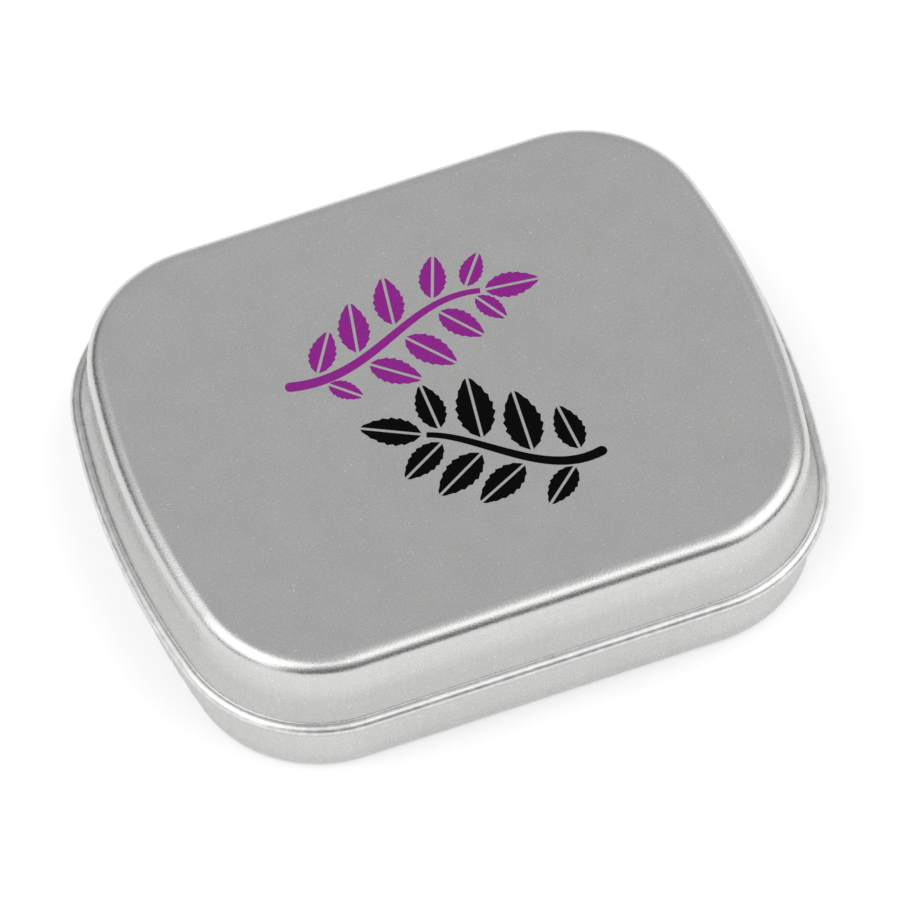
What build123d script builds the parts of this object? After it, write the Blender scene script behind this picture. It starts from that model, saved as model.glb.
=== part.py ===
# A small hinged mint tin of drawn tinplate, closed: a tray, and a lid that swings on its own rolled edge.
#
# Millimetres, +Z up, X along the long side, hinge at +Y. The origin is on the surface that the tin
# stands on, under the middle of the lid's four walls. Every wall is one thickness of sheet. A section
# is drawn in the plane square to the plan's outline: its x is the distance out from the lid's wall,
# its y the height.
from build123d import *
import os
from math import acos, atan2, cos, degrees, pi, radians, sin, sqrt

# Plan of the lid's wall, outside
body_length = 60.0
body_width = 47.4
corner_radius = 12.0
end_bow_radius = 73.0

# Height above the table, the lid's depth from the top to the middle of its bead, and the sheet
tin_height = 16.0
lid_depth = 7.9
sheet = 0.25

# Lid: shoulder, wall that bends out into a straight flare, then a tight bend further out to the bead's
# crest, and the bead rolled down and in under the flare
shoulder_radius = 1.6
flare_bend_radius = 7.0
flare_angle = 20.0
crest_bend_radius = 0.15
crest_angle = 90.0
bead_radius = 0.7
bead_reach = 1.65
bead_turn = 322.0

# Tray: recessed floor, standing ring, lower wall, neck inside the lid, and rim rolled inwards
floor_recess = 0.4
floor_bend_radius = 0.8
foot_width = 1.2
foot_radius = 1.3
tray_inset = 0.1
neck_gap = 0.5
neck_bend_radius = 1.0
rim_radius = 0.5
rim_gap = 0.08
rim_seam_gap = 0.12

# Hinge: two straps lanced from the tray's rear neck, hooked over the lid's bead through slots
strap_width = 5.0
strap_bend_radius = 0.4
strap_root = 0.45
strap_wrap = 170.0
pivot_gap = 0.08
slit_width = 0.25
slot_side_gap = 0.3
slot_top_gap = 0.15
slot_to_corner = 1.06

# How far a sheet laps over its neighbour before they are joined, and a tool past what it cuts
lap = 1.0

# Places that follow from the sizes above
half_length = body_length / 2
half_width = body_width / 2
bow_x = half_length - end_bow_radius
corner_y = half_width - corner_radius
corner_x = bow_x + sqrt((end_bow_radius - corner_radius) ** 2 - corner_y ** 2)
bow_angle = degrees(atan2(corner_y, corner_x - bow_x))

bead_height = tin_height - lid_depth
neck_inset = sheet + neck_gap
bead_out = bead_reach - bead_radius
pivot_y = half_width + bead_out
flare_sine = sin(radians(flare_angle))
flare_cosine = cos(radians(flare_angle))
crest_to_bead = bead_radius + crest_bend_radius
flare_end_out = bead_out + crest_to_bead * cos(radians(crest_angle)) - crest_bend_radius * flare_cosine
flare_end_height = bead_height + crest_to_bead * sin(radians(crest_angle)) - crest_bend_radius * flare_sine
flare_length = (flare_end_out - flare_bend_radius * (1 - flare_cosine)) / flare_sine
flare_top = flare_end_height + flare_length * flare_cosine + flare_bend_radius * flare_sine

rim_height = tin_height - shoulder_radius + sqrt(
    (shoulder_radius - sheet - rim_radius - rim_gap) ** 2 - (shoulder_radius - neck_inset - rim_radius) ** 2
)
rim_turn = 360 - degrees(acos((rim_radius - sheet - rim_seam_gap) / rim_radius))

floor_bend = degrees(acos(1 - floor_recess / (2 * floor_bend_radius)))
floor_edge = -tray_inset - foot_radius - foot_width - 2 * floor_bend_radius * sin(radians(floor_bend))
neck_bend = degrees(acos(1 - (neck_inset - tray_inset) / (2 * neck_bend_radius)))
neck_start = bead_height - bead_radius
neck_bottom = neck_start - 2 * neck_bend_radius * sin(radians(neck_bend))

strap_radius = bead_radius + pivot_gap
strap_foot_y = half_width - neck_inset
strap_bend_height = bead_height + strap_radius - strap_bend_radius
window_bottom = strap_bend_height - strap_root
middle_depth = sheet / 2
strap_length = (
    strap_root
    + pi / 2 * (strap_bend_radius + middle_depth)
    + pivot_y - strap_foot_y - strap_bend_radius
    + radians(strap_wrap) * (strap_radius + middle_depth)
)
slot_top = bead_height + strap_radius + sheet + slot_top_gap
strap_x = corner_x - slot_to_corner - slot_side_gap - strap_width / 2
strap_planes = [Plane.YZ.offset(side * strap_x) for side in (-1, 1)]


def plan_face(inset):
    """Plan of the tin, drawn in by inset from the outside of the lid's wall."""
    with BuildSketch() as plan:
        with BuildLine():
            for side in (1, -1):
                Line((-side * corner_x, -side * half_width), (side * corner_x, -side * half_width))
                turn = 0 if side > 0 else 180
                round_angle = 90 - bow_angle
                CenterArc((side * corner_x, -side * corner_y), corner_radius, turn - 90, round_angle)
                CenterArc((side * bow_x, 0), end_bow_radius, turn - bow_angle, 2 * bow_angle)
                CenterArc((side * corner_x, side * corner_y), corner_radius, turn + bow_angle, round_angle)
        make_face()
        offset(amount=-inset)
    return plan.sketch


def lid_skin(depth):
    """Section line of the lid at a depth below its outer face, from the panel to the bead's cut edge."""
    with BuildLine() as skin:
        top = Line((-shoulder_radius - lap, tin_height - depth), (-shoulder_radius, tin_height - depth))
        shoulder = JernArc(top @ 1, top % 1, shoulder_radius - depth, -90)
        wall = Line(shoulder @ 1, (-depth, flare_top))
        bend = JernArc(wall @ 1, wall % 1, flare_bend_radius + depth, flare_angle)
        flare = Line(bend @ 1, bend @ 1 + flare_length * (bend % 1))
        crest = JernArc(flare @ 1, flare % 1, crest_bend_radius + depth, crest_angle - flare_angle)
        JernArc(crest @ 1, crest % 1, bead_radius - depth, -bead_turn)
    return skin.line


def tray_skin(depth):
    """Section line of the tray at a depth below its outer face, from the floor to the rim's cut edge."""
    with BuildLine() as skin:
        floor = Line((floor_edge - lap, floor_recess + depth), (floor_edge, floor_recess + depth))
        down = JernArc(floor @ 1, floor % 1, floor_bend_radius + depth, -floor_bend)
        level = JernArc(down @ 1, down % 1, floor_bend_radius - depth, floor_bend)
        foot = Line(level @ 1, (-tray_inset - foot_radius, depth))
        corner = JernArc(foot @ 1, foot % 1, foot_radius - depth, 90)
        body = Line(corner @ 1, (-tray_inset - depth, neck_bottom))
        lean = JernArc(body @ 1, body % 1, neck_bend_radius - depth, neck_bend)
        upright = JernArc(lean @ 1, lean % 1, neck_bend_radius + depth, -neck_bend)
        neck = Line(upright @ 1, (-neck_inset - depth, rim_height))
        JernArc(neck @ 1, neck % 1, rim_radius - depth, rim_turn)
    return skin.line


def sheet_face(skin):
    """Section of a sheet between its two faces, skin(0) and skin(sheet)."""
    outer = skin(0)
    inner = skin(sheet)
    with BuildSketch() as section:
        with BuildLine():
            add(outer)
            add(inner)
            Line(outer @ 0, inner @ 0)
            Line(outer @ 1, inner @ 1)
        make_face()
    return section.sketch


def strap_skin(lift):
    """Section line of a hinge strap, lifted off its face towards the bead, from the neck to its free end."""
    with BuildLine() as skin:
        stem = Line((strap_foot_y - lift, neck_start), (strap_foot_y - lift, strap_bend_height))
        bend = JernArc(stem @ 1, stem % 1, strap_bend_radius + lift, -90)
        over = Line(bend @ 1, (pivot_y, bead_height + strap_radius + lift))
        JernArc(over @ 1, over % 1, strap_radius + lift, -strap_wrap)
    return skin.line


# The sections of the two pressings are swept round the plan from the front left end of its long side
plan_edge = plan_face(0).faces()[0].outer_wire()
section_plane = Plane(origin=(-corner_x, -half_width, 0), x_dir=(0, -1, 0), z_dir=(-1, 0, 0))

with BuildPart() as lid:
    with BuildSketch(section_plane):
        add(sheet_face(lid_skin))
    sweep(path=plan_edge)
    with BuildSketch(Plane.XY.offset(tin_height)):
        add(plan_face(shoulder_radius))
    extrude(amount=-sheet)
    # Slots in the rear skirt that the straps pass through; the bead runs on behind them as the pin
    with BuildSketch(*strap_planes):
        with Locations((half_width + bead_reach, slot_top)):
            Rectangle(bead_reach + sheet + lap, slot_top - neck_start, align=(Align.MAX, Align.MAX))
        with Locations((pivot_y, bead_height)):
            Circle(bead_radius, mode=Mode.SUBTRACT)
    extrude(amount=strap_width / 2 + slot_side_gap, both=True, mode=Mode.SUBTRACT)

with BuildPart() as tray:
    with BuildSketch(section_plane):
        add(sheet_face(tray_skin))
    sweep(path=plan_edge)
    with BuildSketch(Plane.XY.offset(floor_recess)):
        add(plan_face(-floor_edge))
    extrude(amount=sheet)
    # Windows that the straps' metal was lanced from, then the straps
    with BuildSketch(*strap_planes):
        with Locations((strap_foot_y + lap, window_bottom)):
            Rectangle(sheet + 2 * lap, strap_length, align=(Align.MAX, Align.MIN))
    extrude(amount=strap_width / 2 + slit_width, both=True, mode=Mode.SUBTRACT)
    with BuildSketch(*strap_planes):
        add(sheet_face(strap_skin))
    extrude(amount=strap_width / 2, both=True)

os.makedirs("parts", exist_ok=True)
for name, piece in (("tray", tray), ("lid", lid)):
    piece.part.label = name
    export_step(piece.part, f"parts/{name}.step")
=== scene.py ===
import math

import bmesh
import bpy
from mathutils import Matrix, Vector


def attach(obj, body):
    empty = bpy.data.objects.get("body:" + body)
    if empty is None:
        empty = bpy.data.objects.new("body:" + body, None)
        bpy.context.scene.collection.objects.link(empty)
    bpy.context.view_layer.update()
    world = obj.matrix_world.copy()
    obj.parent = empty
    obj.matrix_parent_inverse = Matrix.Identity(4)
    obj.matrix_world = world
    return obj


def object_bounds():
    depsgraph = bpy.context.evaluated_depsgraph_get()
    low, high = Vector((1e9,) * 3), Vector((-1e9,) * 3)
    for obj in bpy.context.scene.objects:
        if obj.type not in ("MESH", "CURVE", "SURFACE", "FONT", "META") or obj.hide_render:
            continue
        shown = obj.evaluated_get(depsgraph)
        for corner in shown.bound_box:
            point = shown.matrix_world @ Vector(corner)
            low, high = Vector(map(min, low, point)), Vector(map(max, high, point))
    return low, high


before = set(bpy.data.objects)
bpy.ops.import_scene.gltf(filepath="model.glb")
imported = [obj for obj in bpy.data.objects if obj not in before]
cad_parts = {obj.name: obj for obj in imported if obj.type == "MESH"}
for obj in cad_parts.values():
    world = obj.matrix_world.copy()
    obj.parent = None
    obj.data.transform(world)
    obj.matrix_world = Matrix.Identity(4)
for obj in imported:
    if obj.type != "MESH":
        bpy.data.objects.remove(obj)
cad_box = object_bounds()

MM = 0.001
scene = bpy.context.scene
scene.view_settings.view_transform = "Standard"

# Camera, as fitted to the outline of the tin, with its angles in degrees
CAMERA_AZIMUTH = -18.8022
CAMERA_ELEVATION = 56.4340
CAMERA_ROLL = -2.1653
CAMERA_DISTANCE = 3838 * MM
PIXELS_PER_MM = 11.3170
PICTURE_WIDTH = 900
SENSOR_WIDTH = 36
TIN_MIDDLE = Vector((0, 0, 8 * MM))
MIDDLE_IN_PICTURE = (449.52, 445.80)

# Light: the studio's even radiance, then its soft boxes and dark gaps, each with its azimuth and
# elevation, its half width and half height and the softness of its edge, in degrees, and then the
# radiance that it adds or takes. A box shows on its own side of the sky only, up to a soft edge.
STUDIO_LIGHT = 0.61
SOFT_AREAS = (
    (-80, 42, 32, 32, 8, 1.40),
    (62, 47, 32, 28, 8, 1.30),
    (-5, 10, 38, 22, 8, -0.42),
    (70, 8, 32, 18, 8, -0.45),
    (-110, 6, 52, 17, 8, -0.50),
)
SKY_SIDE_EDGE = 0.1

# Floor: how far it reaches each way, and how much brighter than its lit paper it is seen
FLOOR_REACH = 3.0
FLOOR_TONE = (0.84, 0.84, 0.84, 1)
FLOOR_ROUGHNESS = 0.9
FLOOR_GLOW = 0.27

# Span of noise values that is spread over a mask, from its low to its high end
NOISE_SPAN = (0.3, 0.7)
CLOUD_SPAN = (0.35, 0.65)
SPECK_SPAN = (0.69, 0.76)
PATCH_SPAN = (0.42, 0.62)

# Tinplate: its colour, the noise of each of its marks, with its size, detail and roughness, and how
# the marks are shaped
TINPLATE = (0.57, 0.575, 0.566)
GRAIN_NOISE = (0.17 * MM, 2.0, 0.6)
SPECK_NOISE = (0.24 * MM, 1.0, 0.5)
CLOUD_NOISE = (3.5 * MM, 4.0, 0.55)
LINE_NOISE = (0.35 * MM, 3.0, 0.6)
LINE_STRETCH = 20
PATCH_NOISE = (1.1 * MM, 3.0, 0.6)
PATCH_LEAST = 0.6
BUMP_DEPTH = 0.015 * MM

# What the plain sheet has, and what each mark adds to it, of shade and of surface roughness
PLAIN_SHADE = 0.925
CLOUD_SHADE = 0.026
GRAIN_SHADE = 0.085
SPECK_SHADE = 0.28
LINE_SHADE = 0.02
# Painted shade: the sheet is darkened in a band of heights, standing in for darker reflections on the lid's
# lower wall, flare and bead underside
PAINTED_SHADE = -0.18
PLAIN_ROUGHNESS = 0.23
CLOUD_ROUGHNESS = 0.02
GRAIN_ROUGHNESS = 0.05
LINE_ROUGHNESS = 0.015
RUBBED_ROUGHNESS = 0.10

# Heights on each pressing: the top of its drawing lines, its band of painted shade, standing in for darker
# reflections, and its paler band, how soft their edges are, and what the paler band adds to the shade. The
# paler band is wear at the tray's foot, and a painted highlight along the lid's bead.
LINES_EDGE = 0.6 * MM
PAINTED_SHADE_EDGE = 1.3 * MM
RUB_AND_HIGHLIGHT_EDGE = 0.25 * MM
TRAY_LINES_TOP = 15.0 * MM
# Tray: a faint band of painted shade about 1.4 mm up, and a paler band of wear at the foot
TRAY_PAINTED_SHADE_BAND = (1.4 * MM, 1.4 * MM)
TRAY_RUBBED = (0.1 * MM, 0.7 * MM)
TRAY_RUBBED_SHADE = 0.06
LID_LINES_TOP = 14.8 * MM
# Lid: painted shade from 5 to 11.8 mm up, standing in for darker reflections on the lower wall, flare and
# bead underside
LID_PAINTED_SHADE_BAND = (5.0 * MM, 11.8 * MM)
# Painted highlight: the lid's bead crest is painted paler where its highlight falls, and is rougher there
LID_HIGHLIGHT_BAND = (8.15 * MM, 8.8 * MM)
LID_PAINTED_HIGHLIGHT = 0.42

# Printing ink: colours, how much they mirror, and the noise and the two ends of their unevenness
PURPLE = (0.21, 0.010, 0.20)
PURPLE_GLOSS = 0.15
BLACK = (0.0015, 0.0015, 0.0015)
BLACK_GLOSS = 0.03
INK_NOISE = (0.25 * MM, 3.0, 0.6)
INK_SHADES = (0.90, 1.10)
INK_ROUGHNESSES = (0.42, 0.52)

# Print on the lid, in millimetres: the plate's thickness, and how deep it is set in the lid's top
LID_TOP = cad_box[1][2] / MM
PRINT_THICKNESS = 0.015
PRINT_SINK = 0.005

# Stem of a sprig, in millimetres, and the share of its width that it loses on the way to its tip
STEM_WIDTH = 1.0
STEM_TAPER_SHARE = 0.45
STEM_STEPS = 32
FOOT_STEPS = 12

# Leaf: its width as a share of its length, its teeth on each side, and in millimetres the gap at its
# midrib and off the stem, its root and its half width at the ends. Powers below 1 move its widest place
# towards the root and make it fuller. A notch keeps a share of the width, and a tooth's tip lies at a
# share of the tooth.
LEAF_WIDTH_SHARE = 0.50
LEAF_TEETH = 7
LEAF_GAP = 0.26
LEAF_ROOT = 0.15
LEAF_END = 0.04
LEAF_LEAN = 0.85
LEAF_FULLNESS = 0.8
NOTCH_SHARE = 0.86
TOOTH_TIP_SHARE = 0.7

# The two sprigs, in millimetres: the stem's four curve points, then its leaves, each with its place as a
# share of the stem, its turn from the stem in degrees and its length
PURPLE_STEM = ((-12.6, 5.9), (-5.0, 3.9), (0.0, 11.2), (6.6, 9.4))
PURPLE_LEAVES = (
    (0.10, 60, 4.4), (0.12, -44, 3.2), (0.32, 60, 5.2), (0.32, -58, 4.8), (0.54, 57, 5.0),
    (0.54, -76, 5.2), (0.76, 55, 4.4), (0.75, -68, 4.6), (0.92, 56, 3.6), (0.95, -52, 3.4), (1.0, 8, 4.8),
)
BLACK_STEM = ((10.6, -10.4), (5.0, -11.6), (1.2, -4.8), (-3.2, -3.2))
BLACK_LEAVES = (
    (0.13, 48, 4.4), (0.10, -84, 4.8), (0.40, 60, 5.4), (0.38, -62, 6.4), (0.64, 70, 5.6),
    (0.66, -58, 6.4), (0.87, 62, 4.8), (0.90, -60, 4.8), (1.0, -8, 5.4),
)


def new_tree(owner):
    """Gives a material or world an empty node tree, and returns it."""
    owner.use_nodes = True
    owner.node_tree.nodes.clear()
    return owner.node_tree


def put(tree, kind, inputs=None, **settings):
    """Adds a node, sets its settings, and fills or links its inputs."""
    node = tree.nodes.new(kind)
    for name, value in settings.items():
        setattr(node, name, value)
    for name, value in (inputs or {}).items():
        if isinstance(value, bpy.types.NodeSocket):
            tree.links.new(value, node.inputs[name])
        else:
            node.inputs[name].default_value = value
    return node


def math_node(tree, operation, *values):
    """The result of a Math node on one to three numbers or sockets."""
    node = tree.nodes.new("ShaderNodeMath")
    node.operation = operation
    for socket, value in zip(node.inputs, values):
        if isinstance(value, bpy.types.NodeSocket):
            tree.links.new(value, socket)
        else:
            socket.default_value = value
    return node.outputs[0]


def ramp(tree, value, low, high, to_low=0.0, to_high=1.0):
    """Value taken from the range low to high into to_low to to_high, smoothly and clamped."""
    node = tree.nodes.new("ShaderNodeMapRange")
    node.interpolation_type = "SMOOTHSTEP"
    tree.links.new(value, node.inputs["Value"])
    node.inputs["From Min"].default_value = low
    node.inputs["From Max"].default_value = high
    node.inputs["To Min"].default_value = to_low
    node.inputs["To Max"].default_value = to_high
    return node.outputs["Result"]


def noise(tree, place, size, detail, roughness):
    """Noise from 0 to 1 with features of about that size in metres."""
    node = put(tree, "ShaderNodeTexNoise", {"Vector": place, "Scale": 1 / size, "Detail": detail})
    node.inputs["Roughness"].default_value = roughness
    return node.outputs["Fac"]


def band(tree, height, low, high, edge):
    """1 between two heights, and 0 beyond their soft edges."""
    above = ramp(tree, height, low - edge, low + edge)
    below = ramp(tree, height, high - edge, high + edge, 1.0, 0.0)
    return math_node(tree, "MULTIPLY", above, below)


def add_up(tree, total, *terms):
    """A number plus each mask times its amount."""
    for mask, amount in terms:
        total = math_node(tree, "MULTIPLY_ADD", mask, amount, total)
    return total


def tinplate(name, lines_top, painted_shade_band, rub_and_highlight_band, rub_and_highlight_shade):
    """Matt tinplate: stony grain, bright specks, faint clouds and drawing lines up to the wall's top. One
    band
    of heights is darkened as painted shade, standing in for darker reflections, and another is painted
    paler:
    wear on the tray's foot, a painted highlight on the lid's bead, where the sheet is also rougher."""
    material = bpy.data.materials.new(name)
    tree = new_tree(material)
    place = put(tree, "ShaderNodeTexCoord").outputs["Object"]
    height = put(tree, "ShaderNodeSeparateXYZ", {0: place}).outputs["Z"]

    grain = noise(tree, place, *GRAIN_NOISE)
    cloud = noise(tree, place, *CLOUD_NOISE)
    specks = ramp(tree, noise(tree, place, *SPECK_NOISE), *SPECK_SPAN)

    upright = (1, 1, 1 / LINE_STRETCH)
    drawn = put(tree, "ShaderNodeVectorMath", {0: place, 1: upright}, operation="MULTIPLY")
    lines = noise(tree, drawn.outputs["Vector"], *LINE_NOISE)
    on_wall = ramp(tree, height, lines_top - LINES_EDGE, lines_top + LINES_EDGE, 1.0, 0.0)
    lines = math_node(tree, "MULTIPLY", ramp(tree, lines, *NOISE_SPAN, -1.0, 1.0), on_wall)

    # A patchy paler band: wear at the tray's foot, a painted highlight along the lid's bead
    patches = ramp(tree, noise(tree, place, *PATCH_NOISE), *PATCH_SPAN, PATCH_LEAST, 1.0)
    rub_and_highlight = math_node(tree, "MULTIPLY", band(tree, height, *rub_and_highlight_band, RUB_AND_HIGHLIGHT_EDGE), patches)
    # Painted shade: a band of heights darkened, standing in for darker reflections
    painted_shade_mask = band(tree, height, *painted_shade_band, PAINTED_SHADE_EDGE)

    shade = add_up(
        tree, PLAIN_SHADE,
        (ramp(tree, cloud, *NOISE_SPAN), CLOUD_SHADE),
        (ramp(tree, grain, *NOISE_SPAN), GRAIN_SHADE),
        (specks, SPECK_SHADE),
        (lines, LINE_SHADE),
        (painted_shade_mask, PAINTED_SHADE),
        (rub_and_highlight, rub_and_highlight_shade),
    )
    colour = put(tree, "ShaderNodeVectorMath", {0: TINPLATE, "Scale": shade}, operation="SCALE")
    rough = add_up(
        tree, PLAIN_ROUGHNESS,
        (ramp(tree, cloud, *CLOUD_SPAN), CLOUD_ROUGHNESS),
        (ramp(tree, grain, *NOISE_SPAN), GRAIN_ROUGHNESS),
        (lines, LINE_ROUGHNESS),
        (rub_and_highlight, RUBBED_ROUGHNESS),
    )

    bump = put(tree, "ShaderNodeBump", {"Height": grain, "Strength": 1.0, "Distance": BUMP_DEPTH})
    shader = put(tree, "ShaderNodeBsdfPrincipled", {
        "Base Color": colour.outputs["Vector"],
        "Metallic": 1.0,
        "Roughness": rough,
        "Normal": bump.outputs["Normal"],
    })
    put(tree, "ShaderNodeOutputMaterial", {"Surface": shader.outputs["BSDF"]})
    return material


def print_ink(name, tone, gloss):
    """Printed ink, slightly uneven in depth and gloss."""
    material = bpy.data.materials.new(name)
    tree = new_tree(material)
    place = put(tree, "ShaderNodeTexCoord").outputs["Object"]
    grain = noise(tree, place, *INK_NOISE)
    shade = ramp(tree, grain, *NOISE_SPAN, *INK_SHADES)
    colour = put(tree, "ShaderNodeVectorMath", {0: tone, "Scale": shade}, operation="SCALE")
    shader = put(tree, "ShaderNodeBsdfPrincipled", {
        "Base Color": colour.outputs["Vector"],
        "Roughness": ramp(tree, grain, *NOISE_SPAN, *INK_ROUGHNESSES),
        "Specular IOR Level": gloss,
    })
    put(tree, "ShaderNodeOutputMaterial", {"Surface": shader.outputs["BSDF"]})
    return material


def curve_point(points, t):
    """Place and heading on a cubic curve."""
    a, b, c, d = (Vector(point) for point in points)
    place = (1 - t) ** 3 * a + 3 * (1 - t) ** 2 * t * b + 3 * (1 - t) * t ** 2 * c + t ** 3 * d
    heading = (1 - t) ** 2 * (b - a) + 2 * (1 - t) * t * (c - b) + t ** 2 * (d - c)
    return place, heading.normalized()


def stem_width(t):
    """Width of a stem at a place along it."""
    return STEM_WIDTH * (1 - STEM_TAPER_SHARE * t)


def stem_outline(points):
    """A tapering ribbon along the curve, with a rounded foot."""
    left, right = [], []
    for step in range(STEM_STEPS + 1):
        t = step / STEM_STEPS
        place, heading = curve_point(points, t)
        across = Vector((-heading.y, heading.x)) * stem_width(t) / 2
        left.append(place + across)
        right.append(place - across)
    foot, heading = curve_point(points, 0)
    across = Vector((-heading.y, heading.x))
    arc = []
    for step in range(1, FOOT_STEPS):
        angle = math.pi * step / FOOT_STEPS
        arc.append(foot + stem_width(0) / 2 * (math.cos(angle) * across - math.sin(angle) * heading))
    return arc + right + left[::-1]


def leaf_outlines(points, t, turn, length):
    """The two toothed halves of a leaf beside its midrib gap, rooted just off the stem."""
    place, heading = curve_point(points, t)
    angle = math.radians(turn)
    along = Vector((
        heading.x * math.cos(angle) - heading.y * math.sin(angle),
        heading.x * math.sin(angle) + heading.y * math.cos(angle),
    ))
    across = Vector((-along.y, along.x))
    clear_of_stem = (stem_width(t) / 2 + LEAF_GAP) * abs(math.sin(angle))
    root = place + along * (LEAF_ROOT + clear_of_stem + LEAF_GAP)
    halves = []
    for side in (1, -1):
        edge = []
        for tooth in range(LEAF_TEETH):
            for part, depth in ((0.0, NOTCH_SHARE), (TOOTH_TIP_SHARE, 1.0)):
                along_leaf = (tooth + part) / LEAF_TEETH
                bulge = math.sin(math.pi * along_leaf ** LEAF_LEAN) ** LEAF_FULLNESS
                half = LEAF_GAP / 2 + LEAF_END + depth * bulge * LEAF_WIDTH_SHARE * length / 2
                edge.append(root + along * along_leaf * length + side * across * half)
        rib = side * across * LEAF_GAP / 2
        outline = [root + rib] + edge + [root + along * length + rib]
        halves.append(outline[::-side])
    return halves


def add_print(name, ink, points, leaves):
    """A sprig printed on the lid, as thin closed plates, one for each outline."""
    outlines = [stem_outline(points)]
    for leaf in leaves:
        outlines += leaf_outlines(points, *leaf)
    low = LID_TOP - PRINT_SINK
    high = LID_TOP - PRINT_SINK + PRINT_THICKNESS
    model = bmesh.new()
    for outline in outlines:
        under = [model.verts.new((x * MM, y * MM, low * MM)) for x, y in outline]
        upper = [model.verts.new((x * MM, y * MM, high * MM)) for x, y in outline]
        model.faces.new(under[::-1])
        model.faces.new(upper)
        for here in range(len(outline)):
            there = (here + 1) % len(outline)
            model.faces.new((under[here], under[there], upper[there], upper[here]))
    bmesh.ops.recalc_face_normals(model, faces=model.faces)
    mesh = bpy.data.meshes.new(name)
    model.to_mesh(mesh)
    model.free()
    mesh.materials.append(ink)
    piece = bpy.data.objects.new(name, mesh)
    scene.collection.objects.link(piece)
    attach(piece, "lid")


def add_camera():
    """The fitted camera, turned about the tin's middle and shifted so that it falls where it should."""
    azimuth = math.radians(CAMERA_AZIMUTH)
    elevation = math.radians(CAMERA_ELEVATION)
    roll = math.radians(CAMERA_ROLL)
    back = Vector((
        math.sin(azimuth) * math.cos(elevation),
        -math.cos(azimuth) * math.cos(elevation),
        math.sin(elevation),
    ))
    level_right = Vector((math.cos(azimuth), math.sin(azimuth), 0))
    level_up = back.cross(level_right)
    right = math.cos(roll) * level_right + math.sin(roll) * level_up
    up = math.cos(roll) * level_up - math.sin(roll) * level_right
    aside = (PICTURE_WIDTH / 2 - MIDDLE_IN_PICTURE[0]) / PIXELS_PER_MM * MM
    down = (PICTURE_WIDTH / 2 - MIDDLE_IN_PICTURE[1]) / PIXELS_PER_MM * MM

    data = bpy.data.cameras.new("Camera")
    data.sensor_width = SENSOR_WIDTH
    data.lens = PIXELS_PER_MM / MM * CAMERA_DISTANCE * SENSOR_WIDTH / PICTURE_WIDTH
    camera = bpy.data.objects.new("Camera", data)
    scene.collection.objects.link(camera)
    matrix = camera.matrix_world.copy()
    for column, axis in enumerate((right, up, back)):
        for row in range(3):
            matrix[row][column] = axis[row]
    matrix.translation = TIN_MIDDLE + right * aside - up * down + back * CAMERA_DISTANCE
    camera.matrix_world = matrix
    scene.camera = camera


def compass(azimuth, elevation):
    """Unit vectors towards a place on the sky, to its right and upwards. Azimuth 0 is in front, 90 right."""
    a = math.radians(azimuth)
    e = math.radians(elevation)
    towards = Vector((math.sin(a) * math.cos(e), -math.cos(a) * math.cos(e), math.sin(e)))
    right = Vector((math.cos(a), math.sin(a), 0))
    return towards, right, right.cross(-towards)


def dot(tree, direction, axis):
    """How far a direction points along an axis."""
    node = put(tree, "ShaderNodeVectorMath", {0: direction, 1: axis}, operation="DOT_PRODUCT")
    return node.outputs["Value"]


def soft_area(tree, direction, azimuth, elevation, half_width, half_height, softness):
    """1 inside a soft-edged box on the sky, and 0 outside."""
    towards, right, up = compass(azimuth, elevation)
    mask = ramp(tree, dot(tree, direction, towards), 0.0, SKY_SIDE_EDGE)
    for axis, half in ((right, half_width), (up, half_height)):
        outside = math.sin(math.radians(min(90, half + softness)))
        inside = math.sin(math.radians(half - softness))
        away = math_node(tree, "ABSOLUTE", dot(tree, direction, axis))
        mask = math_node(tree, "MULTIPLY", mask, ramp(tree, away, inside, outside, 1.0, 0.0))
    return mask


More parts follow.
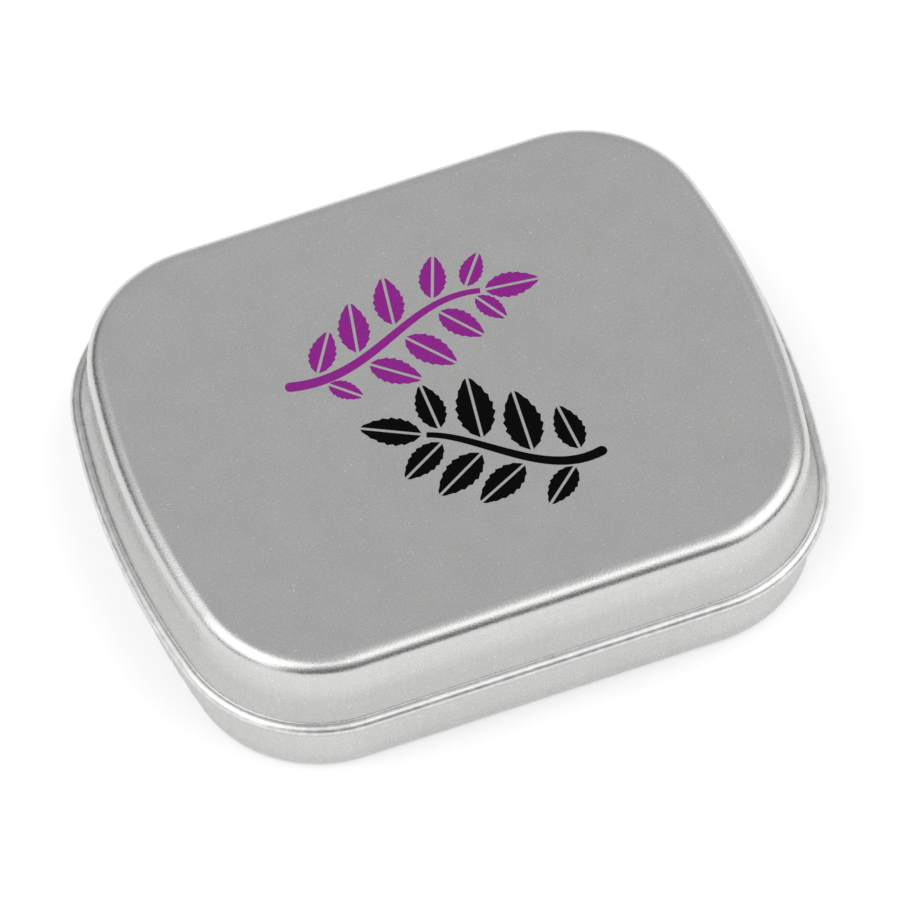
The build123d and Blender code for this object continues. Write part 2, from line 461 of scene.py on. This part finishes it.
def add_world():
    """A pale studio with soft boxes on both sides and darker gaps between them."""
    world = bpy.data.worlds.new("Studio")
    scene.world = world
    tree = new_tree(world)
    direction = put(tree, "ShaderNodeTexCoord").outputs["Generated"]
    light = STUDIO_LIGHT
    for *place, radiance in SOFT_AREAS:
        light = math_node(tree, "MULTIPLY_ADD", soft_area(tree, direction, *place), radiance, light)
    studio = put(tree, "ShaderNodeBackground", {"Color": (1, 1, 1, 1), "Strength": light})
    put(tree, "ShaderNodeOutputWorld", {"Surface": studio.outputs["Background"]})


def add_floor():
    """White paper that keeps the tin's shadow."""
    mesh = bpy.data.meshes.new("Floor")
    far = FLOOR_REACH
    corners = [(-far, -far, 0), (far, -far, 0), (far, far, 0), (-far, far, 0)]
    mesh.from_pydata(corners, [], [(0, 1, 2, 3)])
    floor = bpy.data.objects.new("Floor", mesh)
    scene.collection.objects.link(floor)
    material = bpy.data.materials.new("white_paper")
    tree = new_tree(material)
    path = put(tree, "ShaderNodeLightPath")
    seen = math_node(tree, "MAXIMUM", path.outputs["Is Camera Ray"], path.outputs["Is Glossy Ray"])
    seen = math_node(tree, "MAXIMUM", seen, path.outputs["Is Transmission Ray"])
    paper = put(tree, "ShaderNodeBsdfPrincipled", {
        "Base Color": FLOOR_TONE,
        "Roughness": FLOOR_ROUGHNESS,
        "Specular IOR Level": 0.0,
        "Emission Color": (1, 1, 1, 1),
        "Emission Strength": math_node(tree, "MULTIPLY", seen, FLOOR_GLOW),
    })
    put(tree, "ShaderNodeOutputMaterial", {"Surface": paper.outputs["BSDF"]})
    mesh.materials.append(material)


add_camera()
add_world()
add_floor()

tray_metal = tinplate("tray_tinplate", TRAY_LINES_TOP, TRAY_PAINTED_SHADE_BAND, TRAY_RUBBED, TRAY_RUBBED_SHADE)
lid_metal = tinplate("lid_tinplate", LID_LINES_TOP, LID_PAINTED_SHADE_BAND, LID_HIGHLIGHT_BAND, LID_PAINTED_HIGHLIGHT)
for node, metal in (("tray", tray_metal), ("lid", lid_metal)):
    for material_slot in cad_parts[node].material_slots:
        material_slot.material = metal

purple_ink = print_ink("purple_ink", PURPLE, PURPLE_GLOSS)
black_ink = print_ink("black_ink", BLACK, BLACK_GLOSS)
add_print("purple_sprig", purple_ink, PURPLE_STEM, PURPLE_LEAVES)
add_print("black_sprig", black_ink, BLACK_STEM, BLACK_LEAVES)
